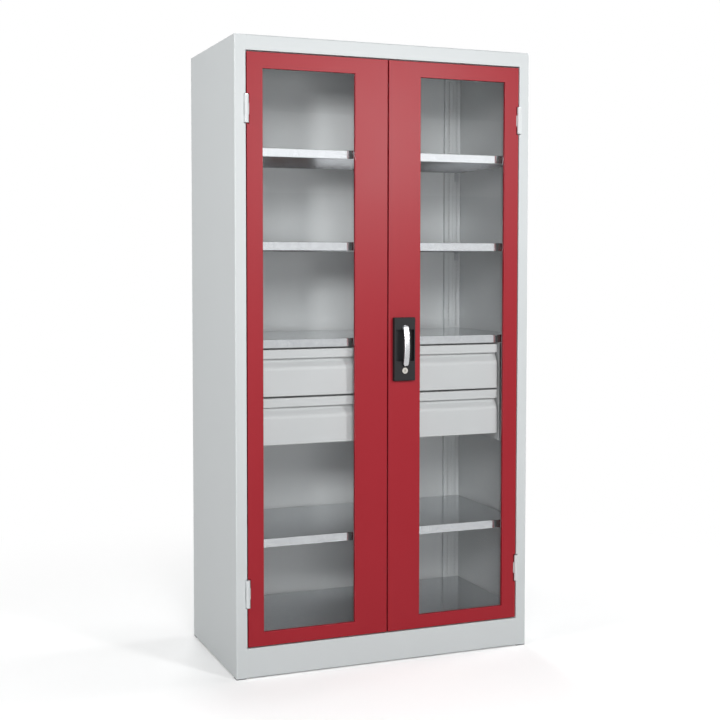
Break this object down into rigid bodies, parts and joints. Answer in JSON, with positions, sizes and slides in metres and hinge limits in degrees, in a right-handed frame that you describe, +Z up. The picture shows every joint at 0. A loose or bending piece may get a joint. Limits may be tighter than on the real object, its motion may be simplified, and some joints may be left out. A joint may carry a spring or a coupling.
{
  "type": "heavy-duty cabinet",
  "caption": "Tall steel storage cabinet with glazed double doors, turning lever lock, adjustable galvanised shelves and drawers hung under a shelf.",
  "frame": {"origin": "on the floor, under the middle of the carcass", "axes": "+X to the right seen from the front, +Y from the doors to the back, +Z up"},
  "size_m": [1, 0.535, 1.95],
  "materials": {
    "carcass_paint": "light grey powder coat, fine orange peel, satin",
    "hinge_paint": "light grey powder coat on the hinge barrels, satin",
    "door_paint": "ruby red powder coat, satin gloss",
    "drawer_paint": "light grey powder coat, satin",
    "galvanised_sheet": "galvanised sheet with faint spangle",
    "zinc_steel": "zinc-plated steel",
    "clear_pane": "clear acrylic sheet, polished",
    "handle_plastic": "black glass-filled plastic, fine texture",
    "lever_chrome": "satin chrome on die-cast zinc",
    "cylinder_nickel": "nickel-plated brass",
    "guide_plastic": "natural nylon",
    "glide_plastic": "grey plastic",
    "buffer_rubber": "black rubber"
  },
  "bodies": {
    "carcass": {"side_panel_left": "carcass_paint", "side_panel_right": "carcass_paint", "front_post_left": "carcass_paint", "front_post_right": "carcass_paint", "back_panel": "carcass_paint", "top_panel": "carcass_paint", "top_rail": "carcass_paint", "plinth_front": "carcass_paint", "floor_panel": "carcass_paint", "front_upright_left": "carcass_paint", "front_upright_right": "carcass_paint", "rear_upright_left": "carcass_paint", "rear_upright_right": "carcass_paint", "hinge_frame_leaves": "hinge_paint", "drawer_carrier_left": "drawer_paint", "drawer_carrier_right": "drawer_paint", "bottom_shelf": "galvanised_sheet", "lower_shelf": "galvanised_sheet", "drawer_shelf": "galvanised_sheet", "middle_shelf": "galvanised_sheet", "upper_shelf": "galvanised_sheet", "shelf_clips": "zinc_steel", "carrier_screws": "zinc_steel", "runner_rails": "zinc_steel", "hinge_pins": "zinc_steel", "foot_glides": "glide_plastic", "door_buffers": "buffer_rubber"},
    "door_left": {"door_left_panel": "door_paint", "door_left_pane": "clear_pane", "door_left_glazing_frame": "zinc_steel", "door_left_stiffener": "door_paint", "door_left_hinge_leaves": "hinge_paint"},
    "door_right": {"door_right_panel": "door_paint", "door_right_pane": "clear_pane", "door_right_glazing_frame": "zinc_steel", "door_right_stiffener": "door_paint", "door_right_hinge_leaves": "hinge_paint", "handle_body": "handle_plastic", "handle_screws": "zinc_steel", "cylinder_housing": "cylinder_nickel", "rod_guides": "guide_plastic"},
    "handle": {"handle_lever": "lever_chrome", "handle_hub": "zinc_steel", "crank_bar": "zinc_steel", "lock_tongue": "zinc_steel", "spindle_nut": "zinc_steel"},
    "upper_rod": {"upper_rod": "zinc_steel"},
    "lower_rod": {"lower_rod": "zinc_steel"},
    "lock_plug": {"lock_plug": "cylinder_nickel", "lock_cam": "zinc_steel"},
    "upper_drawer": {"upper_drawer_front": "drawer_paint", "upper_drawer_tray": "drawer_paint", "upper_drawer_sliders": "zinc_steel"},
    "lower_drawer": {"lower_drawer_front": "drawer_paint", "lower_drawer_tray": "drawer_paint", "lower_drawer_sliders": "zinc_steel"}
  },
  "joints": [
    {"name": "door_left_swing", "type": "hinge", "parent": "carcass", "child": "door_left", "pos_m": [-0.463, -0.2528, 0], "axis": [0, 0, -1], "range_deg": [0, 110]},
    {"name": "door_right_swing", "type": "hinge", "parent": "carcass", "child": "door_right", "pos_m": [0.463, -0.2528, 0], "axis": [0, 0, 1], "range_deg": [0, 110]},
    {"name": "handle_turn", "type": "hinge", "parent": "door_right", "child": "handle", "pos_m": [0.052, -0.25, 1.064], "axis": [0, -1, 0], "range_deg": [0, 90]},
    {"name": "upper_rod_slide", "type": "slide", "parent": "door_right", "child": "upper_rod", "axis": [0, 0, 1], "range_m": [0, 0.0158]},
    {"name": "lower_rod_slide", "type": "slide", "parent": "door_right", "child": "lower_rod", "axis": [0, 0, -1], "range_m": [0, 0.0158]},
    {"name": "lock_plug_turn", "type": "hinge", "parent": "door_right", "child": "lock_plug", "pos_m": [0.052, -0.25, 0.93], "axis": [0, -1, 0], "range_deg": [0, 90]},
    {"name": "upper_drawer_slide", "type": "slide", "parent": "carcass", "child": "upper_drawer", "axis": [0, -1, 0], "range_m": [0, 0.012]},
    {"name": "lower_drawer_slide", "type": "slide", "parent": "carcass", "child": "lower_drawer", "axis": [0, -1, 0], "range_m": [0, 0.012]}
  ],
  "couplings": [
    {"joint": "upper_rod_slide", "follows": "handle_turn", "m_per_rad": 0.01},
    {"joint": "lower_rod_slide", "follows": "handle_turn", "m_per_rad": 0.01}
  ]
}
